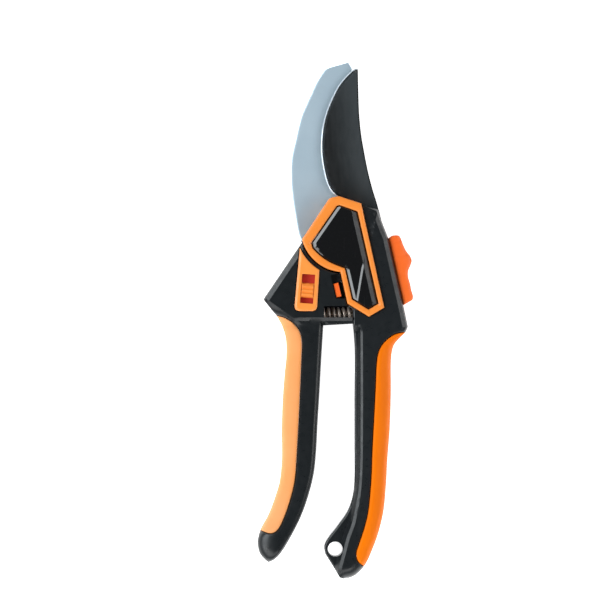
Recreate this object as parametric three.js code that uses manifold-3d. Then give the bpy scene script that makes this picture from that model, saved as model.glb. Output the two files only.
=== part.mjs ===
// Bypass pruning shears, closed and locked, lying flat on their back.
// Millimetres. The origin is on the pivot axis, in the plane of the underside.
// +Y runs to the blade tips, +Z is up, away from the surface the shears lie on.
// The right handle carries the hook blade, and the left handle the cutting blade.

import * as THREE from "three";
import { mergeVertices } from "three/addons/utils/BufferGeometryUtils.js";
import Module from "manifold-3d";

// ---- driving dimensions ---------------------------------------------------

const GAP = 0.3; // between pieces that touch
const HOUSING_TOP = 18; // of the left handle's housing, the highest moulding
const HEAD_UNDERSIDE = 0.6;
const PARTING = 9; // plane where the front and back shells meet
const HOOK = { low: 4.9, high: 8.9 };
const BLADE = { low: 9.2, high: 12.4 };
const DECK_TOP = 12.7; // of the right front shell, under the badge
const RIGHT_HEAD_TOP = 17;
const LEFT_HANDLE_TOP = 17.8;
const RIGHT_HANDLE_TOP = 16.9;
const BADGE = { low: 13, rimTop: 18.6, panelTop: 18.3 };

const DISC_R = 18.4; // head of the right handle about the pivot
const HOUSING_ARC_R = 19.1; // edge of the left housing that runs round it
const PLATE_ARC_R = 20.4; // edge of the selector plate, on the same centre
const BLADE_EYE_R = 11; // the cutting blade's round eye about the pivot
const BLADE_CLEAR_R = 17; // free space round the blade's heel
const HEEL_SLOT_LOW = -2.5; // above this y that space is open to the right
const HOOK_CLEAR_R = 21.5; // the left housing's corner passes the hook here

// Chamfers and bevels, each as wide as it is deep.
const EDGE = { head: 1.2, hook: 0.3, rim: 0.6, panel: 0.9, slider: 0.5, plate: 0.35, bolt: 0.8, small: 0.45 };

const BOLT = { shankR: 4, headR: 8.5, headHeight: 2.4, end: 16.8 };
const BUSH_R = 6;
const WASHER = { r: 6, low: 12.7, high: 13.3 };
const NUT = { acrossCorners: 11.6, low: 13.6, high: 16.3 };

const SKIRT = { x: 0, y: 0, tilt: 145.9, inner: 11.4, outer: 12.2, halfLength: 2.4 };

const RIVET = { shankR: 2, headR: 3, headLow: 0.9, headHigh: 2.1 };
const SCREW = { shankR: 1.4, headR: 2.7, headLow: 1, headHigh: 3, end: 14.5 };
const CROSS = { halfLength: 1.5, halfWidth: 0.3, depth: 1.1 }; // the screws' recess
const HOOK_RIVETS = [[10.5, -15.5], [12.3, -25]];
const BLADE_RIVETS = [[-13.2, -24], [-14.5, -46]];
const RIGHT_SCREWS = [[20.2, -36], [9, -62], [7.4, -112]];
const LEFT_SCREWS = [[-25.5, -29], [-14, -62], [-18.6, -112]];

const SPRING = { wireR: 0.6, coilR: 2.6, turns: 8, left: -10.3, right: 7.4, y: -36.2, z: 9.2 };
const SPRING_POCKET_R = 3.7;
const BAY = { left: -8.5, right: 8, top: -32.8, bottom: -39.6, floor: 5.3, roof: 12.7 };
const WINDOW_BOTTOM = -37.6; // the spring shows above this, and a lip covers it below

const EYE = { x: -3.7, y: -136, r: 3.4, webLow: 4.6, webHigh: 13.4 };

const LOCK = { x: -2.9, y: -26, tilt: 12.8, travel: 3.5 }; // tongue centre and slide
const LOCK_BAR = { low: 9.45, high: 11.4, halfWidth: 2.6, reach: 28.2 };
const TONGUE = { halfLength: 3, halfWidth: 1.1, top: 17.2 };
const CHANNEL = { halfWidth: 3.3, top: 11.8 }; // that the bar slides in
const NOTCH = { margin: 0.5, right: 8 }; // round the tongue in the left housing
const LOCK_SLIDER = { low: 3.8, high: 14.2 };
const CLICK = { x: 19.9, y: -21.6, ballR: 1.05, ballZ: 8.1, wireR: 0.2, coilR: 0.8, floor: 4.4 };

const SELECTOR = { x: -15.45, y: -25.45, tilt: -4.5, halfLength: 6.15, halfWidth: 2.75 };
const STRIP = { low: 14.9, high: 15.5, margin: 0.5, pocketMargin: 0.8 };
const FLANGE = { low: 15.8, high: 16.5, halfWidth: 3.3, reach: 0.4 };
const PLATE = { low: 16.9, high: 18.5 };
const BUTTON = { offset: -0.7, halfLength: 2.75, sideGap: 0.2, top: 18.7 };
const RIDGE = { steps: [-1.7, 0, 1.7], halfLength: 0.35, top: 19.1 };

// ---- solids from three.js shapes ------------------------------------------

const wasm = await Module();
wasm.setup();

function solid(geometry) {
  const bare = geometry.clone();
  bare.deleteAttribute("normal");
  bare.deleteAttribute("uv");
  const merged = mergeVertices(bare, 1e-4);
  return new wasm.Manifold(new wasm.Mesh({
    numProp: 3,
    vertProperties: merged.attributes.position.array,
    triVerts: new Uint32Array(merged.index.array),
  }));
}

function geometryOf(made) {
  const mesh = made.getMesh();
  const geometry = new THREE.BufferGeometry();
  geometry.setAttribute("position", new THREE.BufferAttribute(mesh.vertProperties, 3));
  geometry.setIndex(new THREE.BufferAttribute(mesh.triVerts, 1));
  geometry.computeVertexNormals();
  return geometry;
}

const joined = (first, ...others) => others.reduce((all, next) => all.add(next), first);
const cut = (first, ...others) => others.reduce((all, next) => all.subtract(next), first);

// The outline as straight edges, without points that all but coincide.
function polygonOf(shape, detail) {
  const closeBy = 0.15;
  const points = [];
  for (const point of shape.getPoints(detail)) {
    if (points.every((other) => other.distanceTo(point) > closeBy)) points.push(point);
  }
  return new THREE.Shape(points);
}

// A slab between two heights. bevel narrows both faces by that much over bevelDepth,
// and grow makes the outline larger all round.
function slab(shape, low, high, { bevel = 0, bevelDepth = bevel, layers = 2, grow = 0, detail = 5 } = {}) {
  const geometry = new THREE.ExtrudeGeometry(polygonOf(shape, detail), {
    depth: high - low - 2 * bevelDepth,
    bevelEnabled: bevel > 0 || grow !== 0,
    bevelSegments: bevel > 0 ? layers : 0,
    bevelSize: bevel,
    bevelOffset: grow - bevel,
    bevelThickness: bevelDepth,
  });
  return solid(geometry.translate(0, 0, low + bevelDepth));
}

function disc(radius, low, high, [x, y] = [0, 0], sides = 32) {
  const geometry = new THREE.CylinderGeometry(radius, radius, high - low, sides);
  return solid(geometry.rotateX(Math.PI / 2).translate(x, y, (low + high) / 2));
}

function ring(outer, inner, low, high) {
  return cut(disc(outer, low, high), disc(inner, low - 1, high + 1));
}

function block([x0, x1], [y0, y1], [z0, z1]) {
  const geometry = new THREE.BoxGeometry(x1 - x0, y1 - y0, z1 - z0);
  return solid(geometry.translate((x0 + x1) / 2, (y0 + y1) / 2, (z0 + z1) / 2));
}

// A block in a frame turned about Z by tilt degrees, whose origin is at (x, y).
function tiltedBlock({ x, y, tilt }, across, along, [z0, z1]) {
  const geometry = new THREE.BoxGeometry(across[1] - across[0], along[1] - along[0], z1 - z0);
  geometry.translate((across[0] + across[1]) / 2, (along[0] + along[1]) / 2, (z0 + z1) / 2);
  geometry.rotateZ(THREE.MathUtils.degToRad(tilt)).translate(x, y, 0);
  return solid(geometry);
}

// A piece turned about Z, from [radius, height] pairs that start and end on the axis.
function turned(profile, [x, y] = [0, 0], sides = 28) {
  const points = profile.map(([r, z]) => new THREE.Vector2(r, z));
  return solid(new THREE.LatheGeometry(points, sides).rotateX(Math.PI / 2).translate(x, y, 0));
}

// A coil spring about the Z axis, standing on z = 0.
function coil({ coilR, wireR, turns, length }, stepsPerTurn, sides) {
  class Helix extends THREE.Curve {
    getPoint(t, target = new THREE.Vector3()) {
      const angle = 2 * Math.PI * turns * t;
      return target.set(coilR * Math.cos(angle), coilR * Math.sin(angle), length * t);
    }
  }
  const wire = new THREE.Shape();
  wire.absarc(0, 0, wireR, 0, 2 * Math.PI, false);
  return new THREE.ExtrudeGeometry(wire, {
    steps: Math.round(turns * stepsPerTurn),
    curveSegments: sides / 2,
    extrudePath: new Helix(),
    bevelEnabled: false,
  });
}

// ---- outlines -------------------------------------------------------------

// Straight to each [x, y], through each { curve: [...] }, and round each { arc: {...} }
// about the pivot, whose angles are in degrees.
function outline(start, ...steps) {
  const shape = new THREE.Shape();
  shape.moveTo(...start);
  for (const step of steps) {
    if (step.curve) {
      shape.splineThru(step.curve.map(([x, y]) => new THREE.Vector2(x, y)));
    } else if (step.arc) {
      const [from, to] = [step.arc.from, step.arc.to].map(THREE.MathUtils.degToRad);
      shape.absarc(0, 0, step.arc.r, from, to, from > to);
    } else {
      shape.lineTo(...step);
    }
  }
  return shape;
}

const hookOutline = outline(
  [-17.77, -4.76],
  { curve: [[-19.6, -0.5], [-20.7, 6], [-21.9, 14], [-22.5, 22], [-22.2, 30], [-20.5, 38], [-18.2, 47.5],
    [-15, 55], [-11.6, 62.3], [-8.4, 67.3], [-6.1, 68.8]] },
  [1.9, 71],
  [3.5, 68.3],
  { curve: [[2.4, 64.5], [-0.4, 59.5], [-3.2, 54], [-5.3, 48.5], [-6.6, 42.5], [-7.2, 36], [-7, 30],
    [-6, 23.5], [-4, 18.5], [-0.5, 15], [4.4, 12]] },
  { arc: { r: 12.8, from: 70, to: 8 } },
  [14.4, -10],
  [16.8, -26],
  [14.5, -29.6],
  [7, -29.6],
  [4.6, -27],
  { arc: { r: DISC_R, from: -80, to: -165 } },
);

const bladeOutline = outline(
  [5.8, 68.6],
  { curve: [[3.4, 67.5], [0.7, 64.9], [-2.4, 61], [-5.5, 55], [-7.9, 48.6], [-9.4, 41.5], [-9.8, 34.5],
    [-9.3, 28.5], [-8.1, 22.5], [-6.5, 17.8], [-4.4, 15.2], [-1.5, 13.8]] },
  { arc: { r: BLADE_EYE_R, from: 98, to: 192 } },
  [-13.2, -5],
  [-17, -12],
  [-18.8, -20],
  [-19, -35],
  [-17.4, -40],
  [-17.4, -51],
  [-16.2, -54],
  [-13, -54],
  [-11.6, -51],
  [-11.6, -33.5],
  [-7.6, -20],
  [-4, -12.8],
  [4, -11.6],
  { curve: [[10.5, -8.5], [14.8, -3.5], [16.2, 1.2], [15.7, 4.6]] },
  { curve: [[13.9, 11.2], [12.1, 17], [10.3, 24], [8.6, 32.5], [7.2, 41], [6.4, 50], [6.1, 60],
    [5.9, 68.6]] },
);

const badgeOutline = outline(
  [-17.85, -4.5],
  [-7, 11.9],
  { curve: [[-6.2, 12.8], [-5, 13.3]] },
  [-2.3, 13.8],
  [7.2, 10.7],
  [17, -33.4],
  [10.5, -37.3],
  [1.4, -31.7],
  [-1.6, -18.33],
  { arc: { r: DISC_R, from: -95, to: -165.8 } },
);

const panelOutline = outline(
  [-14, -6],
  [-3.2, 9.6],
  [-2, 10],
  [5.7, 7.3],
  [14.6, -31.7],
  [10.3, -34.3],
  [3.3, -29.9],
  [0.3, -16.8],
  { curve: [[-4.6, -14.9], [-8.2, -12.9], [-11.2, -10.5], [-13.4, -8.3]] },
);

const rightHeadOutline = outline(
  [8.3, 10.4], [14.2, 8.2], [16.7, 1.3], [18.8, -4], [25.95, -36], [27.1, -41.6], [26.3, -43.9],
  [21, -48], [4.1, -48], [4.1, -33.4], [1.4, -31.8], [-1.5, -18.7],
);

// The round head is cut back here, in line with the head's edge and the blade's spine.
const besideHeadOutline = outline([18.9, -4.3], [16.8, 1.3], [11.5, 16], [11.5, 30], [40, 30], [40, -4.3]);

const leftHousingOutline = outline(
  [-18.11, -6.06],
  [-34.3, -30],
  [-28.9, -36.6],
  [-24, -41],
  [-8.7, -40.8],
  [3.7, -40.3],
  [3.7, -33.9],
  [1, -32],
  [-2, -19],
  { arc: { r: HOUSING_ARC_R, from: -96, to: -161.5 } },
);

const leftHandleOutline = outline(
  [-18, -31],
  [-29.4, -31],
  [-28.4, -37.3],
  { curve: [[-26.2, -41.6], [-24.7, -47], [-24.5, -54], [-25.3, -62], [-26.1, -73], [-26.5, -85],
    [-26.4, -97], [-27.3, -107], [-29.4, -114.5], [-32.2, -121.8], [-35.7, -128]] },
  [-36.8, -133.5],
  [-35.4, -138.4],
  [-32.3, -141.8],
  [-28.4, -139.6],
  { curve: [[-24.9, -134.6], [-21.5, -128.5], [-17.9, -121], [-15, -112.6], [-12.9, -104], [-11.9, -95],
    [-11.2, -82], [-10.4, -69], [-9.7, -56], [-8.8, -40]] },
);

const rightHandleOutline = outline(
  [4.1, -40],
  { curve: [[4.6, -52], [4.5, -72], [4.5, -90], [4.5, -105], [3.8, -113], [1.6, -119.8], [-2.8, -126.3],
    [-7, -131.8], [-8.6, -136], [-6.9, -141], [-3.6, -146.3], [-0.9, -148.7], [2.4, -148.6]] },
  { curve: [[6.3, -146.2], [9.8, -141.5], [12.6, -135], [15, -128], [16.9, -119.5], [17.9, -109],
    [18.5, -98], [19.5, -85], [20, -70], [20, -57], [20.8, -50.5], [22.8, -47.2], [26.2, -43.8]] },
  [24, -40],
);

// The inlay outlines follow the edge between inlay and shell, and pass outside the handle.
const leftInlayOutline = outline(
  [-31, -36.3],
  [-28.7, -36.9],
  { curve: [[-25.4, -37.8], [-21.8, -40], [-19.1, -43.3], [-18, -48], [-18.2, -56], [-18.7, -68],
    [-19.3, -81], [-20.1, -95], [-20.9, -106], [-22.7, -114], [-25, -121], [-27.4, -126.3],
    [-29.6, -128.6], [-32, -129]] },
  [-40, -126.5],
  [-40, -36.3],
);

const rightInlayOutline = outline(
  [27.6, -44],
  { curve: [[24.5, -44.1], [21, -45.1], [17.2, -48.1], [14.9, -51.8], [13.9, -57], [13.4, -68], [12.8, -80],
    [12.1, -93], [11.7, -104], [11.1, -112.6], [10.2, -120.5], [8.6, -127], [6.5, -133.4], [5.3, -137.3],
    [5.9, -140.8], [8.4, -143.2]] },
  [14, -147],
  [32, -120],
  [32, -44],
);

const selectorPlateOutline = outline(
  [-18.75, -8.05],
  [-21, -32.6],
  { curve: [[-20.6, -34.2], [-19, -34.9]] },
  [-13.6, -34.9],
  { curve: [[-12, -34.3], [-11.4, -32.8]] },
  [-10.5, -17.5],
  { arc: { r: PLATE_ARC_R, from: -121, to: -156.8 } },
);

// The thumb piece: a straight inner side along the head, and a wavy outer side.
const lockSliderOutline = outline(
  [19.1, -4],
  { curve: [[20.4, -2.9], [22.7, -2.7], [23.9, -3.6], [25.1, -6.6], [26.3, -9.2], [28, -11.4], [28.8, -13.4],
    [28.2, -15.6], [27.3, -17.8], [27.3, -20.5], [28.1, -23.4], [28.6, -26], [29.4, -28.6], [29.1, -30.2]] },
  [25.6, -32.4],
);

// Below this line the right handle thins to a flat web round the hanging eye.
const webOutline = outline([4.3, -112], [4.9, -122], [2.4, -134], [-2, -150], [-14, -150], [-14, -112]);

// ---- the two handles, before they part into shells and inlays --------------

const HANDLE_BEVEL = { bevel: 2.4, bevelDepth: 4, layers: 3, detail: 2 };
const LIMIT = 200; // larger than the shears every way

const above = (z) => block([-LIMIT, LIMIT], [-LIMIT, LIMIT], [z, LIMIT]);
const below = (z) => block([-LIMIT, LIMIT], [-LIMIT, LIMIT], [-LIMIT, z]);

const HOUSING_BEVEL = { bevel: EDGE.head, layers: 1, detail: 2 };
const leftHousing = slab(leftHousingOutline, HEAD_UNDERSIDE, HOUSING_TOP, HOUSING_BEVEL);
const leftWhole = joined(leftHousing, slab(leftHandleOutline, 0, LEFT_HANDLE_TOP, HANDLE_BEVEL));
const rightHead = slab(rightHeadOutline, HEAD_UNDERSIDE, RIGHT_HEAD_TOP, { bevel: EDGE.head, layers: 1 });
const rightWhole = joined(rightHead, slab(rightHandleOutline, 0, RIGHT_HANDLE_TOP, HANDLE_BEVEL));

const inlaySpace = (shape, grow) => slab(shape, -1, HOUSING_TOP + 1, { grow, detail: 3 });
const leftInlay = inlaySpace(leftInlayOutline, 0);
const rightInlay = inlaySpace(rightInlayOutline, 0);
const leftInlaySeat = inlaySpace(leftInlayOutline, GAP);
const rightInlaySeat = inlaySpace(rightInlayOutline, GAP);
const leftCore = cut(leftWhole, leftInlaySeat);
const rightCore = cut(rightWhole, rightInlaySeat);

// ---- shared cutters --------------------------------------------------------

const rivetHole = (place) => joined(
  disc(RIVET.shankR + GAP, 0, BLADE.high + GAP, place, 20),
  disc(RIVET.headR + GAP, -1, RIVET.headHigh + GAP, place, 20),
);

const screwHole = (place) => joined(
  disc(SCREW.shankR + GAP, 0, SCREW.end + GAP, place, 16),
  disc(SCREW.headR + GAP, -1, SCREW.headHigh + GAP, place, 20),
);

function springPocket(from, to) {
  const geometry = new THREE.CylinderGeometry(SPRING_POCKET_R, SPRING_POCKET_R, to - from, 24);
  return solid(geometry.rotateZ(Math.PI / 2).translate((from + to) / 2, SPRING.y, SPRING.z));
}

const springBay = joined(
  block([BAY.left, BAY.right], [BAY.bottom, BAY.top], [BAY.floor, BAY.roof]),
  block([BAY.left, BAY.right], [WINDOW_BOTTOM, BAY.top], [BAY.floor, LIMIT]),
);

const lockChannel = tiltedBlock(
  LOCK,
  [-6, 34],
  [-CHANNEL.halfWidth, CHANNEL.halfWidth + LOCK.travel],
  [HOOK.high, CHANNEL.top],
);
// Open towards the right handle, so that the tongue leaves it as the handles part.
const tongueNotch = joined(
  tiltedBlock(
    LOCK,
    [-TONGUE.halfWidth - NOTCH.margin, NOTCH.right],
    [-TONGUE.halfLength - NOTCH.margin, TONGUE.halfLength + LOCK.travel + NOTCH.margin],
    [PARTING, LIMIT],
  ),
  block([LOCK.x - 0.4, NOTCH.right], [LOCK.y - TONGUE.halfLength - 0.8, LOCK.y], [PARTING, LIMIT]),
);
const clickPocket = disc(CLICK.ballR + GAP, CLICK.floor, PARTING, [CLICK.x, CLICK.y], 16);

// ---- pieces of the right handle -------------------------------------------

function rightBackShell() {
  const head = cut(
    disc(DISC_R, HEAD_UNDERSIDE, HOOK.low - GAP, [0, 0], 48),
    slab(besideHeadOutline, HEAD_UNDERSIDE - 1, HOOK.low),
  );
  return cut(
    joined(rightCore.intersect(below(PARTING - GAP / 2)), head),
    slab(hookOutline, HOOK.low - GAP, LIMIT, { grow: GAP }),
    disc(BOLT.headR + GAP, -1, BOLT.headHeight + GAP),
    disc(BOLT.shankR + GAP, 0, PARTING),
    ...HOOK_RIVETS.map(rivetHole),
    ...RIGHT_SCREWS.map(screwHole),
    springPocket(0, SPRING.right + 2 * GAP),
    clickPocket,
    hangingEye(),
    slab(webOutline, -1, EYE.webLow),
  );
}

function rightFrontShell() {
  return cut(
    rightCore.intersect(above(PARTING + GAP / 2)),
    slab(badgeOutline, DECK_TOP, LIMIT, { grow: GAP }),
    disc(BLADE_CLEAR_R, PARTING, DECK_TOP + GAP, [0, 0], 48),
    block([-LIMIT, LIMIT], [HEEL_SLOT_LOW, LIMIT], [PARTING, DECK_TOP + GAP]),
    lockChannel,
    ...RIGHT_SCREWS.map(screwHole),
    springPocket(0, SPRING.right + 2 * GAP),
    hangingEye(),
    slab(webOutline, EYE.webHigh, LIMIT),
  );
}

const hangingEye = () => disc(EYE.r, -1, LIMIT, [EYE.x, EYE.y], 24);

function hookBlade() {
  return cut(
    slab(hookOutline, HOOK.low, HOOK.high, { bevel: EDGE.hook, layers: 1 }),
    disc(BOLT.shankR + GAP, 0, PARTING),
    ...HOOK_RIVETS.map((place) => disc(RIVET.shankR + GAP, 0, PARTING, place, 20)),
  );
}

// The ring of the badge, with a short skirt that closes the gap above the hook blade.
function badgeRim() {
  const ring = cut(
    slab(badgeOutline, BADGE.low, BADGE.rimTop, { bevel: EDGE.rim, layers: 1 }),
    slab(panelOutline, BADGE.low - 1, BADGE.rimTop + 1),
  );
  const skirt = tiltedBlock(
    SKIRT,
    [SKIRT.inner, SKIRT.outer],
    [-SKIRT.halfLength, SKIRT.halfLength],
    [BLADE.low, BADGE.low + 1],
  );
  return joined(ring, skirt);
}

function badgePanel() {
  return cut(
    slab(panelOutline, BADGE.low + GAP, BADGE.panelTop, { grow: -GAP, bevel: EDGE.panel, layers: 1 }),
    disc(WASHER.r + GAP, 0, BOLT.end + GAP, [0, 0], 32),
  );
}

// Round head at the back, flat across, with a small chamfer.
const pivotBolt = () => turned([
  [0, 0], [BOLT.headR - EDGE.bolt, 0], [BOLT.headR, EDGE.bolt], [BOLT.headR, BOLT.headHeight],
  [BOLT.shankR, BOLT.headHeight], [BOLT.shankR, BOLT.end - EDGE.small],
  [BOLT.shankR - EDGE.small, BOLT.end], [0, BOLT.end],
]);

const pivotWasher = () => ring(WASHER.r, BOLT.shankR + GAP, WASHER.low, WASHER.high);

function pivotNut() {
  const hexagon = disc(NUT.acrossCorners / 2, NUT.low, NUT.high, [0, 0], 6);
  return cut(hexagon, disc(BOLT.shankR + GAP, NUT.low - 1, NUT.high + 1));
}

const rivet = (end) => (place) => turned([
  [0, RIVET.headLow], [RIVET.headR - EDGE.small, RIVET.headLow], [RIVET.headR, RIVET.headLow + EDGE.small],
  [RIVET.headR, RIVET.headHigh], [RIVET.shankR, RIVET.headHigh], [RIVET.shankR, end], [0, end],
], place, 20);

// A pan head with a cross recess, and a plain shank in place of its thread.
function screw([x, y]) {
  const body = turned([
    [0, SCREW.headLow], [SCREW.headR - EDGE.small, SCREW.headLow], [SCREW.headR, SCREW.headLow + EDGE.small],
    [SCREW.headR, SCREW.headHigh], [SCREW.shankR, SCREW.headHigh], [SCREW.shankR, SCREW.end], [0, SCREW.end],
  ], [x, y], 16);
  const bar = ([across, along]) => block(
    [x - across, x + across],
    [y - along, y + along],
    [SCREW.headLow - 1, SCREW.headLow + CROSS.depth],
  );
  return cut(body, bar([CROSS.halfLength, CROSS.halfWidth]), bar([CROSS.halfWidth, CROSS.halfLength]));
}

function openingSpring() {
  const length = SPRING.right - SPRING.left;
  const geometry = coil({ ...SPRING, length }, 14, 6);
  return solid(geometry.rotateY(Math.PI / 2).translate(SPRING.left, SPRING.y, SPRING.z));
}

function lockClickBall() {
  return solid(new THREE.SphereGeometry(CLICK.ballR, 14, 10).translate(CLICK.x, CLICK.y, CLICK.ballZ));
}

function lockClickSpring() {
  const bottom = CLICK.floor + CLICK.wireR + GAP;
  const length = CLICK.ballZ - CLICK.ballR - CLICK.wireR - GAP - bottom;
  return solid(coil({ ...CLICK, turns: 4, length }, 10, 4).translate(CLICK.x, CLICK.y, bottom));
}

// ---- the lock ----------------------------------------------------------------

function lockBar() {
  const bar = tiltedBlock(
    LOCK,
    [-TONGUE.halfWidth, LOCK_BAR.reach],
    [-LOCK_BAR.halfWidth, LOCK_BAR.halfWidth],
    [LOCK_BAR.low, LOCK_BAR.high],
  );
  const tongue = tiltedBlock(
    LOCK,
    [-TONGUE.halfWidth, TONGUE.halfWidth],
    [-TONGUE.halfLength, TONGUE.halfLength],
    [LOCK_BAR.low, TONGUE.top],
  );
  return joined(bar, tongue);
}

function lockSlider() {
  const socket = tiltedBlock(
    LOCK,
    [0, LOCK_BAR.reach + GAP],
    [-LOCK_BAR.halfWidth - GAP, LOCK_BAR.halfWidth + GAP],
    [LOCK_BAR.low - GAP, LOCK_BAR.high + GAP],
  );
  const bevel = { bevel: EDGE.slider, layers: 1, detail: 3 };
  return cut(slab(lockSliderOutline, LOCK_SLIDER.low, LOCK_SLIDER.high, bevel), socket);
}

// ---- pieces of the left handle ---------------------------------------------

const hookClearance = disc(HOOK_CLEAR_R, HOOK.low - GAP, BLADE.low, [0, 0], 48);

function leftBackShell() {
  return cut(
    leftCore.intersect(below(PARTING - GAP / 2)),
    hookClearance,
    springBay,
    springPocket(SPRING.left - 2 * GAP, BAY.right),
    ...BLADE_RIVETS.map(rivetHole),
    ...LEFT_SCREWS.map(screwHole),
  );
}

function leftFrontShell() {
  return cut(
    leftCore.intersect(above(PARTING + GAP / 2)),
    hookClearance,
    slab(bladeOutline, PARTING, BLADE.high + GAP, { grow: GAP }),
    springBay,
    springPocket(SPRING.left - 2 * GAP, BAY.right),
    tongueNotch,
    slab(selectorPlateOutline, PLATE.low - GAP, LIMIT, { grow: GAP }),
    selectorBlock(STRIP.pocketMargin, [STRIP.low - GAP, LIMIT]),
    ...LEFT_SCREWS.map(screwHole),
  );
}

function cuttingBlade() {
  return cut(
    slab(bladeOutline, BLADE.low, BLADE.high),
    disc(BUSH_R + GAP, 0, LIMIT, [0, 0], 32),
    ...BLADE_RIVETS.map((place) => disc(RIVET.shankR + GAP, 0, LIMIT, place, 20)),
  );
}

const pivotBush = () => ring(BUSH_R, BOLT.shankR + 0.1, BLADE.low, BLADE.high);

// ---- the selector -------------------------------------------------------------

// The space of the slot, made larger or smaller all round by margin.
function selectorBlock(margin, heights) {
  const across = SELECTOR.halfWidth + margin;
  const along = SELECTOR.halfLength + margin;
  return tiltedBlock(SELECTOR, [-across, across], [-along, along], heights);
}

function selectorPlate() {
  return cut(
    slab(selectorPlateOutline, PLATE.low, PLATE.high, { bevel: EDGE.plate, layers: 1, detail: 4 }),
    selectorBlock(0, [0, LIMIT]),
  );
}

const selectorIndicator = () => selectorBlock(STRIP.margin, [STRIP.low, STRIP.high]);

// A pad in the slot, three ridges across it, and a flange that the plate keeps in.
function selectorButton() {
  const across = SELECTOR.halfWidth - BUTTON.sideGap;
  const part = (halfWidth, offset, halfLength, heights) => tiltedBlock(
    SELECTOR,
    [-halfWidth, halfWidth],
    [BUTTON.offset + offset - halfLength, BUTTON.offset + offset + halfLength],
    heights,
  );
  const pad = part(across, 0, BUTTON.halfLength, [FLANGE.low, BUTTON.top]);
  const flange = part(FLANGE.halfWidth, 0, BUTTON.halfLength + FLANGE.reach, [FLANGE.low, FLANGE.high]);
  const ridges = RIDGE.steps.map((step) => part(across, step, RIDGE.halfLength, [BUTTON.top - 1, RIDGE.top]));
  return joined(pad, flange, ...ridges);
}

// ---- the assembly ---------------------------------------------------------------

const paint = (color, roughness, metalness = 0) => ({ color, roughness, metalness });
const BLACK = paint(0x24282a, 0.5);
const GLOSS = paint(0x0c0e10, 0.12);
const ORANGE = paint(0xf6902a, 0.4);
const PALE_ORANGE = paint(0xf9b070, 0.55);
const DEEP_ORANGE = paint(0xf5821a, 0.55);
const LOCK_ORANGE = paint(0xff7030, 0.45);
const RED = paint(0xb8322a, 0.4);
const STEEL = paint(0xaab4bd, 0.35, 0.9);
const COATED = paint(0x2b2f31, 0.35, 0.3);
const ZINC = paint(0xc0c4c8, 0.3, 1);
const BRONZE = paint(0xa8804a, 0.4, 1);

const shears = new THREE.Group();

function place(name, made, finish) {
  const mesh = new THREE.Mesh(geometryOf(made), new THREE.MeshStandardMaterial(finish));
  mesh.name = name;
  shears.add(mesh);
}

place("right_back_shell", rightBackShell(), BLACK);
place("right_front_shell", rightFrontShell(), BLACK);
place("right_grip_inlay", rightWhole.intersect(rightInlay), DEEP_ORANGE);
place("hook_blade", hookBlade(), STEEL);
place("badge_rim", badgeRim(), ORANGE);
place("badge_panel", badgePanel(), GLOSS);
place("pivot_bolt", pivotBolt(), ZINC);
place("pivot_washer", pivotWasher(), ZINC);
place("pivot_nut", pivotNut(), ZINC);
place("opening_spring", openingSpring(), STEEL);
place("lock_click_ball", lockClickBall(), ZINC);
place("lock_click_spring", lockClickSpring(), ZINC);
HOOK_RIVETS.map(rivet(HOOK.high - 0.1)).forEach((made, i) => place(`hook_rivet_${i + 1}`, made, ZINC));
RIGHT_SCREWS.map(screw).forEach((made, i) => place(`right_screw_${i + 1}`, made, ZINC));

place("lock_bar", lockBar(), LOCK_ORANGE);
place("lock_slider", lockSlider(), LOCK_ORANGE);

place("left_back_shell", leftBackShell(), BLACK);
place("left_front_shell", leftFrontShell(), BLACK);
place("left_grip_inlay", leftWhole.intersect(leftInlay), PALE_ORANGE);
place("cutting_blade", cuttingBlade(), COATED);
place("pivot_bush", pivotBush(), BRONZE);
place("selector_plate", selectorPlate(), ORANGE);
place("selector_indicator", selectorIndicator(), RED);
BLADE_RIVETS.map(rivet(BLADE.high)).forEach((made, i) => place(`blade_rivet_${i + 1}`, made, ZINC));
LEFT_SCREWS.map(screw).forEach((made, i) => place(`left_screw_${i + 1}`, made, ZINC));

place("selector_button", selectorButton(), ORANGE);

export default shears;
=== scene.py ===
"""Bypass pruning shears, closed and locked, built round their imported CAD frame.

Outlines are in millimetres in the frame's own axes: the pivot is at the origin, +Y runs to
the blade tips and +Z is up. Heights come from the CAD nodes.
"""

import math

import bpy
import numpy as np
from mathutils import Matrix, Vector
from mathutils.geometry import delaunay_2d_cdt


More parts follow.
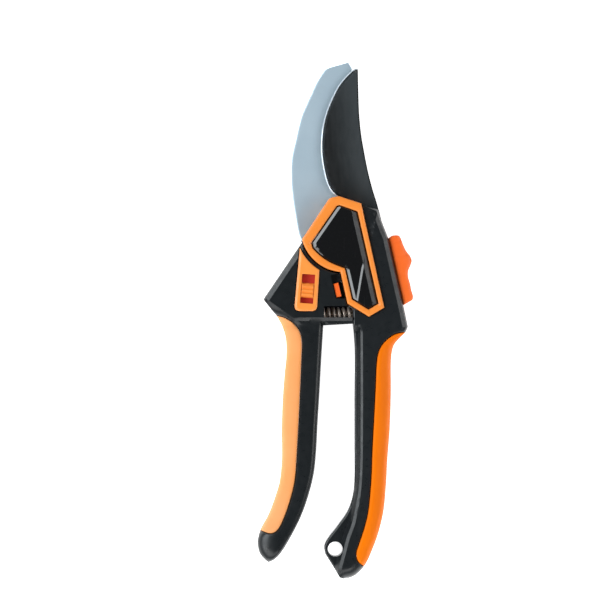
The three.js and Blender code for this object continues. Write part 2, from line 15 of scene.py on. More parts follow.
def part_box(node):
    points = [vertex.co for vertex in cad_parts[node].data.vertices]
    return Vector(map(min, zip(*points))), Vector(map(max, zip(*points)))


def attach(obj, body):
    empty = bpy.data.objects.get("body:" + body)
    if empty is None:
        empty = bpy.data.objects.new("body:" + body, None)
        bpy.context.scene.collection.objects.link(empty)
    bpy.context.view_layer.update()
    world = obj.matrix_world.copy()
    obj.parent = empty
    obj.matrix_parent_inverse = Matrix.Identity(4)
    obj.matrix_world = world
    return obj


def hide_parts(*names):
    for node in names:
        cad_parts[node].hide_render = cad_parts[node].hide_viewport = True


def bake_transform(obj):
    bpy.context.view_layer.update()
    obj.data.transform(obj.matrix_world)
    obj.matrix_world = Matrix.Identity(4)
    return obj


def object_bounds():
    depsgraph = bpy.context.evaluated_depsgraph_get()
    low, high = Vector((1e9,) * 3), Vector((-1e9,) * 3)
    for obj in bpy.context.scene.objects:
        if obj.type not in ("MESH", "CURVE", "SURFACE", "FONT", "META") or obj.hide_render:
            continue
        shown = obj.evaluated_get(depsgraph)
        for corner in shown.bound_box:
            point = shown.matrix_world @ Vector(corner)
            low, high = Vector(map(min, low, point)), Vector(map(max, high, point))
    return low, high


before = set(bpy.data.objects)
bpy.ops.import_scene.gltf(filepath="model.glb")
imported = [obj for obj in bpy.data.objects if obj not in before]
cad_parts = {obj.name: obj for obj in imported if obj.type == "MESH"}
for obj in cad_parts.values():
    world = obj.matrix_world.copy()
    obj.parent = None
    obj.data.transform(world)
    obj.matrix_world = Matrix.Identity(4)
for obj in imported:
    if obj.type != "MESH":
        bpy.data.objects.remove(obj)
cad_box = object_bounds()

MM = 0.001
GAP = 0.3  # between pieces that touch
HAIRLINE = 0.05  # between pieces that close against each other
SHORTEST = 0.12  # no run of an outline is shorter
SPAN_STEPS = 10  # straight runs between two points of a curve


def heights(node):
    """The lowest and highest z of a CAD node, in millimetres."""
    low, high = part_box(node)
    return low.z / MM, high.z / MM


# ---- outlines ----


class Through:
    """A smooth curve through points, from where the outline has got to."""

    def __init__(self, *points):
        self.points = points

    def trace(self, last):
        p = np.array([last, *self.points], float)
        t = np.linspace(0, 1, SPAN_STEPS + 1)[1:, None]
        spans = []
        for i in range(len(p) - 1):
            a, b, c, d = p[max(i - 1, 0)], p[i], p[i + 1], p[min(i + 2, len(p) - 1)]
            start, end = (c - a) / 2, (d - b) / 2
            cubic = (2 * b - 2 * c + start + end) * t**3
            square = (3 * c - 3 * b - 2 * start - end) * t**2
            spans.append(cubic + square + start * t + b)
        return np.vstack(spans)


class Arc:
    """Part of a circle, about the pivot unless it says otherwise, between two angles in degrees."""

    def __init__(self, radius, start, end, centre=(0, 0)):
        self.radius, self.start, self.end, self.centre = radius, start, end, centre

    def trace(self, last=None, step=3):
        count = max(2, int(abs(self.end - self.start) / step))
        angles = np.radians(np.linspace(self.start, self.end, count + 1))
        return self.centre + self.radius * np.stack([np.cos(angles), np.sin(angles)], 1)


def route(*steps, spacing=0.9):
    """An open line through points, curves and arcs, with points no further apart than spacing."""
    points = np.empty((0, 2))
    for step in steps:
        points = np.vstack([points, step.trace(points[-1]) if hasattr(step, "trace") else [step]])
    kept = [points[0]]
    for point in points[1:]:
        run = np.linalg.norm(point - kept[-1])
        if run < SHORTEST:
            continue
        count = math.ceil(run / spacing)
        start = kept[-1]
        kept.extend(start + (point - start) * i / count for i in range(1, count + 1))
    return np.array(kept)


def distance(places, line, closed=False):
    """How far each place is from a line of points."""
    starts = line if closed else line[:-1]
    runs = (np.roll(line, -1, 0) if closed else line[1:]) - starts
    found = []
    for part in np.array_split(places, max(1, len(places) * len(line) // 2_000_000)):
        away = part[:, None] - starts
        share = np.clip((away * runs).sum(2) / (runs**2).sum(1), 0, 1)
        found.append(np.linalg.norm(away - share[:, :, None] * runs, axis=2).min(1))
    return np.concatenate(found)


def beside(places, start, end):
    """How far each place is to the left of the straight line from start to end."""
    run = np.subtract(end, start) / np.linalg.norm(np.subtract(end, start))
    away = places - start
    return run[0] * away[:, 1] - run[1] * away[:, 0]


class Outline:
    """A closed outline. depth() is how far inside it a place is, and below 0 outside."""

    def __init__(self, *steps, spacing=0.9):
        line = route(*steps, steps[0], spacing=spacing)
        self.line = line[:-1] if np.linalg.norm(line[0] - line[-1]) < SHORTEST else line

    def depth(self, places):
        x, y = places[:, 0][:, None], places[:, 1][:, None]
        (x0, y0), (x1, y1) = self.line.T, np.roll(self.line, -1, 0).T
        spans = (y0 > y) != (y1 > y)
        with np.errstate(divide="ignore", invalid="ignore"):
            crossings = spans & (x < x0 + (y - y0) * (x1 - x0) / (y1 - y0))
        inside = crossings.sum(1) % 2 == 1
        return np.where(inside, 1, -1) * distance(places, self.line, closed=True)

    def edge(self, places):
        """The depth, and 0 outside."""
        return np.maximum(self.depth(places), 0)

    def moved(self, outward):
        """The line moved outward (or inward, if negative) by that much, mitred at its corners."""
        ahead = np.roll(self.line, -1, 0) - self.line
        ahead /= np.linalg.norm(ahead, axis=1)[:, None]
        behind = np.roll(ahead, 1, 0)
        normal = np.stack([ahead[:, 1] + behind[:, 1], -ahead[:, 0] - behind[:, 0]], 1)
        normal *= 2 / np.maximum((normal**2).sum(1), 0.4)[:, None]
        x, y = self.line.T
        area = (x * np.roll(y, -1) - y * np.roll(x, -1)).sum()
        return self.line + normal * outward * (1 if area > 0 else -1)


def from_line(line):
    """The outline of a closed line that has its points already."""
    made = Outline.__new__(Outline)
    made.line = line
    return made


def grown(outline, outward):
    return from_line(outline.moved(outward))


def circle(radius, centre=(0, 0), step=6):
    return from_line(Arc(radius, 0, 360, centre).trace(step=step)[:-1])


def rectangle(place, tilt, across, along, spacing=0.5):
    """A rectangle about a place, turned by tilt degrees; across and along are from-to pairs."""
    c, s = math.cos(math.radians(tilt)), math.sin(math.radians(tilt))
    corners = [(across[i], along[j]) for i, j in ((0, 0), (1, 0), (1, 1), (0, 1))]
    turned = [(place[0] + u * c - v * s, place[1] + u * s + v * c) for u, v in corners]
    return Outline(*turned, spacing=spacing)


def block(across, along):
    """A plain rectangle from x to x and from y to y, for cutting with."""
    return rectangle((0, 0), 0, across, along, spacing=9)


def within(outline, *holes):
    """The depth inside an outline that has holes."""
    return lambda places: np.min([outline.depth(places), *(-hole.depth(places) for hole in holes)], 0)


# ---- meshes ----

ROW_STEP = 0.87  # from row to row of a triangular grid, as a share of its spacing
THINNEST = 0.05


def placed(name, data):
    made = bpy.data.objects.new(name, data)
    bpy.context.scene.collection.objects.link(made)
    return made


def piece_from(name, vertices, faces):
    mesh = bpy.data.meshes.new(name)
    mesh.from_pydata([tuple(v * MM for v in p) for p in vertices], [], faces)
    mesh.validate()
    return placed(name, mesh)


def level(z):
    return lambda places, depths: np.full(len(places), float(z))


def relief(name, loops, top, bottom, spacing, rings=(), creases=(), kind=None, depth=None):
    """A piece with upright walls between a top and a bottom surface.

    loops are its outline and its holes, and top and bottom give heights from (places, depths).
    The surface has rows of points at the ring distances from its edge, along each crease, and
    on a grid between them. kind(places, depths) picks the material slot of each face of the
    top. Where loops aren't an outline and holes, depth(places) is how far inside a place is.
    """
    depth = depth or within(*loops)
    points, edges = [], []

    def add_row(row, good=True, closed=True):
        good = np.broadcast_to(good, len(row))
        number = np.cumsum(good) - 1 + len(points)
        points.extend(row[good])
        pairs = np.flatnonzero(good & np.roll(good, -1))[:None if closed else -1]
        edges.extend((int(number[i]), int(number[(i + 1) % len(row)])) for i in pairs)

    for loop in loops:
        add_row(loop.line)
    for crease in creases:
        add_row(crease, closed=False)
    for loop in loops:
        for inset in rings:
            for side in (1, -1):
                row = loop.moved(side * inset)
                add_row(row, np.abs(depth(row) - inset) < 0.04 * inset + 0.01)
    low = np.min([loop.line.min(0) for loop in loops], 0)
    high = np.max([loop.line.max(0) for loop in loops], 0)
    xs = np.arange(low[0], high[0] + spacing, spacing)
    ys = np.arange(low[1], high[1] + spacing, spacing * ROW_STEP)
    grid = np.stack(np.meshgrid(xs, ys), 2)
    grid[1::2, :, 0] += spacing / 2
    grid = grid.reshape(-1, 2)
    grid = grid[depth(grid) > max(rings, default=0) + 0.4 * spacing]
    if len(creases) and len(grid):
        grid = grid[np.min([distance(grid, crease) for crease in creases], 0) > 0.4 * spacing]
    points.extend(grid)

    flat = delaunay_2d_cdt([Vector(p) for p in points], edges, [], 0, 1e-4, False)
    places = np.array([tuple(v) for v in flat[0]])
    triangles = np.array(flat[2])
    middles = places[triangles].mean(1)
    sizes = np.cross(places[triangles[:, 1]] - places[triangles[:, 0]],
                     places[triangles[:, 2]] - places[triangles[:, 0]])
    inside = (depth(middles) > 0.002) & (np.abs(sizes) > 1e-6)
    triangles, middles = triangles[inside], middles[inside]
    flipped = sizes[inside] < 0
    triangles[flipped] = triangles[flipped][:, ::-1]

    used = np.unique(triangles)
    number = np.full(len(places), -1)
    number[used] = np.arange(len(used))
    places, triangles = places[used], number[triangles]
    depths, count = np.maximum(depth(places), 0), len(places)
    tops = top(places, depths)
    bottoms = np.minimum(bottom(places, depths), tops - THINNEST)
    vertices = np.vstack([np.column_stack([places, tops]), np.column_stack([places, bottoms])])
    faces = [tuple(map(int, t)) for t in triangles]
    faces += [tuple(int(i) + count for i in t[::-1]) for t in triangles]
    directed = {(int(t[i]), int(t[i - 2])) for t in triangles for i in range(3)}
    walls = [(a, b) for a, b in sorted(directed) if (b, a) not in directed]
    faces += [(b, a, a + count, b + count) for a, b in walls]
    piece = piece_from(name, vertices, faces)
    if kind:
        kinds = np.zeros(len(faces), np.int32)
        kinds[:len(triangles)] = kind(middles, depth(middles))
        piece.data.polygons.foreach_set("material_index", kinds)
    return piece


def slab(outline, low, high):
    """A plain closed solid of an outline, for cutting with."""
    return relief("cutter", [outline], level(high), level(low), spacing=6)


def skin(name, rows, first, last):
    """A closed piece over rows of points, with a tip at each end."""
    sides = len(rows[0])
    vertices = [first, *(point for row in rows for point in row), last]
    pairs = [(i, (i + 1) % sides) for i in range(sides)]
    faces = [(0, 1 + j, 1 + i) for i, j in pairs]
    end = 1 + (len(rows) - 1) * sides
    for a in range(1, end, sides):
        faces += [(a + i, a + j, a + sides + j, a + sides + i) for i, j in pairs]
    faces += [(len(vertices) - 1, end + i, end + j) for i, j in pairs]
    return piece_from(name, vertices, faces)


def lathe(name, profile, place=(0, 0), sides=64):
    """A piece turned about Z, from (radius, height) pairs that start and end on the axis."""
    turns = [2 * math.pi * i / sides for i in range(sides)]
    rows = [[(place[0] + radius * math.cos(t), place[1] + radius * math.sin(t), z) for t in turns]
            for radius, z in profile[1:-1]]
    return skin(name, rows, (*place, profile[0][1]), (*place, profile[-1][1]))


def tube(name, path, radius, sides=12, dome=0.4):
    """A round bar along a path, with domed ends."""
    path = np.array(path, float)
    ahead = np.gradient(path, axis=0)
    ahead /= np.linalg.norm(ahead, axis=1)[:, None]
    rows = []
    side = np.cross(ahead[0], (0, 0, 1.0))
    turn = 2 * math.pi * np.arange(sides)[:, None] / sides
    for point, along in zip(path, ahead):
        side = side - along * (side @ along)
        side /= np.linalg.norm(side)
        rows.append(point + radius * (np.cos(turn) * side + np.sin(turn) * np.cross(along, side)))
    return skin(name, rows, path[0] - ahead[0] * radius * dome, path[-1] + ahead[-1] * radius * dome)


def carve(piece, cutters, operation="DIFFERENCE"):
    """Cuts the cutters out of a piece, or joins them to it, and removes them."""
    kit = bpy.data.collections.new("cutters")
    for cutter in cutters:
        kit.objects.link(cutter)
    step = piece.modifiers.new("carve", "BOOLEAN")
    step.operation = operation
    step.solver = "MANIFOLD"
    step.operand_type = "COLLECTION"
    step.collection = kit
    settle(piece)
    for cutter in cutters:
        bpy.data.objects.remove(cutter)
    bpy.data.collections.remove(kit)
    return piece


def settle(piece):
    """Turns a piece's modifiers into its mesh."""
    graph = bpy.context.evaluated_depsgraph_get()
    mesh = bpy.data.meshes.new_from_object(piece.evaluated_get(graph), depsgraph=graph)
    mesh.materials.clear()
    piece.modifiers.clear()
    old = piece.data
    piece.data = mesh
    bpy.data.meshes.remove(old)


def shade(piece, angle):
    """Smooth shading, with a hard edge where faces meet at more than angle degrees."""
    piece.data.shade_smooth()
    piece.data.set_sharp_from_angle(angle=math.radians(angle))
    return piece


# ---- the outlines of the pieces ----

DISC_R = 18.4  # the round head
HOUSING_ARC_R = 19.1
PLATE_ARC_R = 20.4
HEAD_ROOM_R = 21.5  # the hollow of the left handle that the head turns in
HOOK_SEAT = 4.6  # the back of the hook blade lies here
BLADE_ROOF = 12.7  # the front shells clear the cutting blade below this
BUSH_R = 6.3
BOLT_R = 4.3
EYE = {"place": (-3.75, -136), "radius": 3.15}
LOCK = {"place": (-2.9, -26), "tilt": 12.8, "travel": 3.5}
SELECTOR = {"place": (-15.45, -25.45), "tilt": -4.5, "half_length": 6.15, "half_width": 2.75}
BUTTON = {"offset": -0.7, "half_length": 2.75, "half_width": 2.55, "ridges": (-1.7, 0, 1.7)}
SPRING = {"wire": 0.6, "coil": 2.6, "turns": 8, "left": -10.3, "right": 7.4, "y": -36.2, "z": 9.2}
RIVETS = {"hook_rivet_1": (10.5, -15.5), "hook_rivet_2": (12.3, -25),
          "blade_rivet_1": (-13.2, -24), "blade_rivet_2": (-14.5, -46)}
CLICK_BALL = (19.9, -21.6)
SCREWS = {"right_screw_1": (20.2, -36), "right_screw_2": (9, -62), "right_screw_3": (7.4, -112),
          "left_screw_1": (-25.5, -29), "left_screw_2": (-14, -62), "left_screw_3": (-18.6, -112)}

CUTTING_EDGE = Through(
    (3.4, 67.5), (0.7, 64.9), (-2.4, 61), (-5.5, 55), (-7.9, 48.6), (-9.4, 41.5), (-9.8, 34.5),
    (-9.3, 28.5), (-8.1, 22.5), (-6.5, 17.8), (-4.6, 15.1), (-2.2, 13.2))
BLADE_TIP = (5.8, 68.6)
BLADE_SPINE = Through(
    (13.9, 11.2), (12.1, 17), (10.3, 24), (8.6, 32.5), (7.2, 41), (6.4, 50), (6.1, 60), (5.9, 68.5))
blade_outline = Outline(
    BLADE_TIP, CUTTING_EDGE, Arc(11, 98, 192), (-13.2, -5), (-17, -12), (-18.8, -20), (-19, -35),
    (-17.4, -40), (-17.4, -51), (-16.2, -54), (-13, -54), (-11.6, -51), (-11.6, -33.5), (-7.6, -20),
    (-4, -12.8), (4, -11.6), Through((10.5, -8.5), (14.8, -3.5), (16.2, 1.2), (15.7, 4.6)), BLADE_SPINE)

hook_outline = Outline(
    (-18.3, -4.7),
    Through((-19.6, -0.5), (-20.7, 6), (-21.9, 14), (-22.5, 22), (-22.2, 30), (-20.5, 38),
            (-18.2, 47.5), (-15, 55), (-11.6, 62.3), (-8.4, 67.3), (-6.1, 68.8)),
    (1.9, 71), (3.5, 68.3),
    Through((2.4, 64.5), (-0.4, 59.5), (-3.2, 54), (-5.3, 48.5), (-6.6, 42.5), (-7.2, 36), (-7, 30),
            (-6, 23.5), (-4, 18.5), (-0.5, 15), (4.4, 12)),
    Arc(12.8, 70, 8), (14.4, -10), (16.8, -26), (14.5, -29.6), (7, -29.6), (4.6, -27),
    Arc(DISC_R + 0.5, -80, -165))

badge_outline = Outline(
    (-17.85, -4.5), (-7, 11.9), Through((-6.2, 12.8), (-5, 13.3)), (-2.3, 13.8), (7.2, 10.7),
    (17, -33.4), (10.5, -37.3), (1.4, -31.7), (-1.6, -18.33), Arc(DISC_R, -95, -165.8))

PANEL_ARC = Through((-4.6, -14.9), (-8.2, -12.9), (-11.2, -10.5), (-13.4, -8.3))
panel_outline = Outline(
    (-14, -6), (-3.2, 9.6), (-2, 10), (5.7, 7.3), (14.6, -31.7), (10.3, -34.3), (3.3, -29.9),
    (0.3, -16.8), PANEL_ARC)

RIGHT_INNER = Through(
    (4.6, -52), (4.5, -72), (4.5, -90), (4.5, -105), (3.8, -113), (1.6, -119.8), (-2.8, -126.3),
    (-7, -131.8), (-8.4, -135), (-8, -138))
TAIL_POINT = (-1.8, -148)
RIGHT_OUTER = Through(
    (0.6, -148.6), (5, -147.1), (9.2, -142.5), (12.6, -135), (15, -128), (16.9, -119.5), (17.9, -109),
    (18.5, -98), (19.5, -85), (20, -70), (20, -57), (20.8, -50.5), (22.8, -47.2), (26.2, -43.8))
right_outline = Outline(
    (3.76, -40.3), RIGHT_INNER, TAIL_POINT, RIGHT_OUTER, (27.1, -41.6), (25.95, -36), (18.8, -4), (16.7, 1.3),
    (14.2, 8.2), (8.3, 10.4), (-1.93, -18.8), (1.04, -31.93), (3.76, -33.82))
RIGHT_SEAM = Through(
    (24.5, -44.1), (21, -45.1), (17.2, -48.1), (14.9, -51.8), (13.9, -57), (13.4, -68), (12.8, -80),
    (12.1, -93), (11.7, -104), (11.1, -112.6), (10.2, -120.5), (8.6, -127), (6.5, -133.4),
    (5.3, -137.3), (5.9, -140.8), (8.4, -143.2))
right_inlay_side = Outline((27.6, -44), RIGHT_SEAM, (14, -147), (32, -120), (32, -44))
RIGHT_RIDGE = ((7.9, -42), Through(
    (8, -70), (7.9, -95), (7.5, -107), (6.6, -115.2), (4.7, -124.9), (2.4, -131.3), (0.6, -138.2),
    (-1, -144), TAIL_POINT))

LEFT_OUTER = Through(
    (-26.2, -41.6), (-24.7, -47), (-24.5, -54), (-25.3, -62), (-26.1, -73), (-26.5, -85),
    (-26.4, -97), (-27.3, -107), (-29.4, -114.5), (-32.2, -121.8), (-35.5, -128), (-36.7, -133),
    (-35.6, -138), (-32.2, -141.7))
LEFT_INNER = Through(
    (-29.2, -140), (-25.9, -136.1), (-21.5, -128.5), (-17.9, -121), (-15, -112.6), (-12.9, -104),
    (-11.9, -95), (-11.2, -82), (-10.4, -69), (-9.7, -56), (-8.8, -41))


def left_side(arc_radius):
    """The left handle and housing, with the hollow that the round head turns in."""
    return Outline(
        (-18.11, -6.06), (-34.3, -30), (-28.4, -37.3), LEFT_OUTER, LEFT_INNER, (3.7, -40.3),
        (3.7, -33.9), (1, -32), (-2, -19), Arc(arc_radius, -96, -161.5))


left_outline = left_side(HOUSING_ARC_R)
left_back_outline = left_side(DISC_R + 0.15)
LEFT_SEAM = Through(
    (-25.4, -37.8), (-21.8, -40), (-19.1, -43.3), (-18, -48), (-18.2, -56), (-18.7, -68),
    (-19.3, -81), (-20.1, -95), (-20.9, -106), (-22.7, -114), (-25, -121), (-27.4, -126.3),
    (-29.6, -128.6), (-32, -129))
left_inlay_side = Outline((-31, -36.3), (-28.7, -36.9), LEFT_SEAM, (-40, -126.5), (-40, -36.3))

plate_outline = Outline(
    (-18.75, -8.05), (-21, -32.6), Through((-20.6, -34.2), (-19, -34.9)), (-13.6, -34.9),
    Through((-12, -34.3), (-11.4, -32.8)), (-10.5, -17.5), Arc(PLATE_ARC_R, -121, -156.8), spacing=0.6)

slider_outline = Outline(
    (18.9, -4),
    Through((20.4, -2.9), (22.7, -2.7), (23.9, -3.6), (25.1, -6.6), (26.3, -9.2), (28, -11.4),
            (28.8, -13.4), (28.2, -15.6), (27.3, -17.8), (27.3, -20.5), (28.1, -23.4), (28.6, -26),
            (29.35, -28.6), (29.1, -30.2)),
    (25.25, -32.4), spacing=0.6)


# ---- surfaces ----


def fall(distances, width, drop):
    """A straight slope down to an edge: 0 from width inward, and drop at the edge itself."""
    return drop * np.clip(1 - distances / width, 0, 1)


def roll(distances, width, drop):
    """A quarter of an ellipse down to an edge."""
    share = np.clip(1 - distances / width, 0, 1)
    return drop * (1 - np.sqrt(1 - share**2))


def step_up(values, start, end):
    """0 below start, 1 above end, and smooth between."""
    t = np.clip((values - start) / (end - start), 0, 1)
    return t * t * (3 - 2 * t)


def lesser(first, second, blend):
    """The smaller of two, with a rounded change from one to the other."""
    share = np.clip(0.5 + 0.5 * (second - first) / blend, 0, 1)
    return second + (first - second) * share - blend * share * (1 - share)


ROLL_RINGS = (0.08, 0.3, 0.7, 1.2, 1.75, 2.3, 3.2, 4.2, 5.5)


# ---- the blades ----

GROUND_WIDTH = 0.5  # bare strip along the cutting edge
SHOULDER_WIDTH, SHOULDER_DROP = 1.4, 2.1  # slope behind it, painted black as shade
SPINE_WIDTH, SPINE_DROP = 0.6, 0.5  # bevel along the spine, painted black as shade


def hook_blade(low, high):
    bore = circle(BOLT_R)
    # The hook's band along the arc, in the dark gap beside the badge, gets slot 1, black nylon: painted shade
    # over the steel.
    piece = relief(
        "hook_blade_steel", [hook_outline, bore],
        lambda p, d: high - roll(d, 0.5, 0.35),
        lambda p, d: low + roll(d, 0.5, 0.35),
        rings=(0.1, 0.25, 0.5, 1.0, 2.0), spacing=2.0,
        kind=lambda m, d: ((np.hypot(m[:, 0], m[:, 1]) > DISC_R - 1) & (m[:, 1] < -5)).astype(np.int32))
    return shade(piece, 40)


def cutting_blade(low, high):
    bore = circle(BUSH_R)
    edge = route(BLADE_TIP, CUTTING_EDGE)
    spine = route((15.7, 4.6), BLADE_SPINE)

    def top(places, depths):
        from_edge = distance(places, edge)
        from_spine = distance(places, spine)
        aside = np.clip((from_edge - from_spine) / 2, -8, 8)
        crown = 0.5 - 0.008 * np.minimum(aside**2, 60) * step_up(places[:, 1], 8, 22)
        ground = fall(from_edge, GROUND_WIDTH, 0.12)
        shoulder = fall(from_edge - GROUND_WIDTH, SHOULDER_WIDTH - GROUND_WIDTH, SHOULDER_DROP)
        spine_bevel = fall(from_spine, SPINE_WIDTH, SPINE_DROP)
        return high - crown - shoulder - ground - spine_bevel - roll(depths, 0.2, 0.1)

    # Slot 1 is the bare ground strip; slot 2 is painted shade, a near-black dull finish on the shoulder and
    # the spine bevel.
    def kind(middles, depths):
        from_edge = distance(middles, edge)
        painted_shade_band = (from_edge < SHOULDER_WIDTH) | (distance(middles, spine) < SPINE_WIDTH)
        return np.where(from_edge < GROUND_WIDTH, 1, np.where(painted_shade_band, 2, 0))

    rings = (0.1, 0.3, GROUND_WIDTH, 0.95, SHOULDER_WIDTH, 2.2)
    piece = relief("cutting_blade_steel", [blade_outline, bore], top, level(low), 1.5, rings, kind=kind)
    return shade(piece, 22)


# ---- the badge ----


RIM_HEIGHT = 5.6


def badge_rim(low, high):
    def top(places, depths):
        outer, inner = badge_outline.depth(places), -panel_outline.depth(places)
        crown = 0.055 * (outer - inner) ** 2 / 4
        return high - np.minimum(crown, 0.5) - roll(outer, 0.7, 0.55) - roll(inner, 0.5, 0.4)

    rings = (0.07, 0.2, 0.4, 0.7, 1.1, 1.5)
    rim_low = high - RIM_HEIGHT
    rim = relief("badge_rim_bead", [badge_outline, panel_outline], top, level(rim_low), 0.8, rings)
    tab = rectangle((0, 0), 145.9, (11.4, 12.2), (-2.4, 2.4))
    carve(rim, [slab(tab, low, rim_low + 1)], "UNION")
    return shade(rim, 35)


PANEL_RIDGE = ((8.9, -12.4), (5.7, -31.5))
RIDGE_WIDTH = 0.85
STRIP_WIDTH, STRIP_DROP = 2.3, 0.98
CHAMFER_WIDTH, CHAMFER_DROP = 1.5, 0.6
WASHER_TOP = 17.1


def badge_panel(low, high):
    """Glossy, with a chamfer along its left edges, a ridge, and a satin strip along its right one."""
    inset = grown(panel_outline, -GAP)
    upper_left = route((-14, -6), (-3.2, 9.6))
    lower_left = route((3.3, -29.9), (0.3, -16.8))
    arc = route((0.3, -16.8), PANEL_ARC, (-14, -6))
    right = route((5.7, 7.3), (14.6, -31.7))

    def top(places, depths):
        x, y = places.T
        taper = 1 - step_up(x, -13, -6)
        upper = fall(distance(places, upper_left) - GAP, CHAMFER_WIDTH, CHAMFER_DROP)
        curved = fall(distance(places, arc) - GAP, 0.25 + CHAMFER_WIDTH * taper, CHAMFER_DROP * taper)
        lower = fall(distance(places, lower_left) - GAP, CHAMFER_WIDTH, CHAMFER_DROP)
        chamfer = np.max([upper, curved, lower * step_up(-y, 16.5, 17.5)], 0)
        strip = fall(distance(places, right) - GAP, STRIP_WIDTH, STRIP_DROP)
        off_ridge = beside(places, *PANEL_RIDGE[::-1])
        below = -y - 12.2
        left_side = 0.36 * np.clip(off_ridge, 0, RIDGE_WIDTH * np.clip(below / 4, 0, 1))
        right_side = 0.07 * np.clip(-off_ridge, 0, 3) * np.clip(below / 8, 0, 1)
        return high - chamfer - strip - left_side - right_side - fall(depths, 0.35, 0.25)

    creases = [route(*PANEL_RIDGE), route(PANEL_RIDGE[0], (7.4, -16.2), (4.86, -31.4))]
    rings = (0.12, 0.35, 0.7, CHAMFER_WIDTH - 0.05, CHAMFER_WIDTH + 0.12, STRIP_WIDTH, STRIP_WIDTH + 0.15)
    piece = relief("badge_panel_gloss", [inset], top, level(low), 0.8, rings, creases)
    carve(piece, [slab(circle(BUSH_R), low - 1, WASHER_TOP)])
    middles = np.array([face.center.xy / MM for face in piece.data.polygons])
    satin = distance(middles, right) < GAP + STRIP_WIDTH
    piece.data.polygons.foreach_set("material_index", satin.astype(np.int32))
    return shade(piece, 9)


# ---- the shells and grip inlays ----

LEFT_TOP = heights("left_front_shell")[1]
RIGHT_TOP = heights("right_front_shell")[1]
PARTING = heights("right_back_shell")[1]  # where the front and back shells meet
BELOW, CLEAR, ABOVE = -1, 10, 60  # clear of the back, of the back shells, and of everything
MOUTH_FLOOR = 8.9
POCKET_R = 3.7
SCREW_SHANK_R, SCREW_REACH = 1.7, (8.5, 14.8)
BEVEL_EDGE, BEVEL_WIDTH = 0.7, 2.3  # the steep and the whole width of the bevels of head and housing
TONGUE_UNDERSIDE = heights("lock_bar")[1] - 1.8
LIP_TOP, LIP_BOTTOM = -37.6, -39.1  # the sloping lip under the spring
BAY_SIDES, BAY_TOP, BAY_BOTTOM = (-8.5, 8), -32.8, -39.6  # the room for the spring
STEEP_WIDTH = 1.75  # of the facet beside the lit one
SEAM_WIDTH, SEAM_DROP = 0.55, 0.5  # the shells' rounded lip at the inlays
INLAY_RISE = 0.25  # how far the soft grips stand proud of the shells

right_ridge = route(*RIGHT_RIDGE)
head_crease = ((11.8, -4), (14.2, 8))
right_head_edge = route(
    (8.3, 10.4), (14.2, 8.2), (16.7, 1.3), (18.8, -4), (25.95, -36), (27.1, -41.6), (26.3, -43.9))
right_side_edge = route((26.3, -43.9), Through(*reversed(RIGHT_OUTER.points)))
left_top_edge = route((-18.11, -6.06), (-34.3, -30))
left_lip = [route((-20.5, y), (3.9, y)) for y in (LIP_TOP, LIP_BOTTOM)]
left_corner = ((-21.8, -37.6), (-33.2, -29.5))
left_outer_edge = route((-34.3, -30), (-28.4, -37.3), LEFT_OUTER)
left_inner_edge = route((-32.2, -141.7), LEFT_INNER)
web_outline = Outline(
    (4.3, -112), (4.9, -122), (2.4, -134), (-2, -150), (-14, -150), (-14, -112), spacing=4)
beside_head = Outline((18.9, -4.3), (16.8, 1.3), (11.5, 16), (11.5, 30), (40, 30), (40, -4.3), spacing=4)


def lit_width(y):
    """The width of the narrow facet beside the right handle's ridge, wider in the tail."""
    return 0.95 + 0.4 * step_up(-y, 104, 126)


def beside_ridge(offset):
    """The ridge moved towards the handle's inner side."""
    run = np.gradient(right_ridge, axis=0)
    run /= np.linalg.norm(run, axis=1)[:, None]
    moved = right_ridge + np.column_stack([run[:, 1], -run[:, 0]]) * offset(right_ridge[:, 1])[:, None]
    return moved[right_outline.depth(moved) > 0.4]


def across_ridge(places):
    """How far each place is from the right handle's ridge, positive towards its inner side."""
    near = np.abs(places[:, None, 1] - right_ridge[None, :, 1]).argmin(1)
    side = np.sign(right_ridge[near, 0] - places[:, 0])
    return side * distance(places, right_ridge)


def right_top(places, depths):
    """The front of the right handle and head, before shells and inlay part."""
    x, y = places.T
    inner = across_ridge(places)
    lit = lit_width(y)
    facet = 0.4 * np.clip(inner, 0, lit) + 1.75 * np.clip(inner - lit, 0, STEEP_WIDTH)
    facet = (facet + 0.03 * np.clip(inner - lit - STEEP_WIDTH, 0, 9)) * step_up(-y, 40.5, 44)
    crown = 0.012 * np.clip(x - 11, -5, 9) ** 2 * step_up(-y, 44, 60)
    outer = distance(places, right_side_edge)
    outer_roll = roll(outer, 5.5, 6.0) * step_up(-y, 41, 52)
    from_head_edge = distance(places, right_head_edge)
    head = fall(from_head_edge, BEVEL_WIDTH, 1.0) + fall(from_head_edge, BEVEL_EDGE, 0.8)
    head *= 1 - step_up(-y, 43, 48)
    head += 0.4 * np.clip(beside(places, *head_crease), 0, 0.6) * step_up(y, -6, -3)
    handle = 0.1 * step_up(-y, 40, 46)
    return RIGHT_TOP - handle - facet - crown - outer_roll - head - roll(depths, 0.9, 0.8)


def left_top(places, depths):
    """The front of the left handle and housing, before shells and inlay part."""
    x, y = places.T
    handle = 0.3 * step_up(-y, 39.6, 41.2)
    from_top_edge = distance(places, left_top_edge)
    edge = fall(from_top_edge, BEVEL_WIDTH, 1.0) + fall(from_top_edge, BEVEL_EDGE, 0.8)
    corner = 0.5 * np.clip(beside(places, *left_corner), 0, 6)
    corner *= 1 - step_up(-y, 38.5, 43)
    outer = distance(places, left_outer_edge)
    cap = step_up(-y, 126.5, 131)
    outer_roll = roll(outer, 7.5, 6.0) * step_up(-y, 34, 42) * (1 - cap)
    outer_roll += cap * (0.045 * np.clip(7.5 - outer, 0, 7.5) ** 2 + roll(outer, 2, 1.6))
    inner = distance(places, left_inner_edge)
    inner_fall = fall(inner, 1.9, 0.9) + fall(inner, 0.8, 1.0)
    lip = 0.65 * np.clip((LIP_TOP - y) / (LIP_TOP - LIP_BOTTOM), 0, 1)
    lip *= (1 - step_up(-y, 41, 48)) * step_up(x, -22.5, -19.5)
    return LEFT_TOP - handle - edge - lesser(corner, 2.4, 0.5) - outer_roll - inner_fall - lip \
        - roll(depths, 0.5, 0.45)


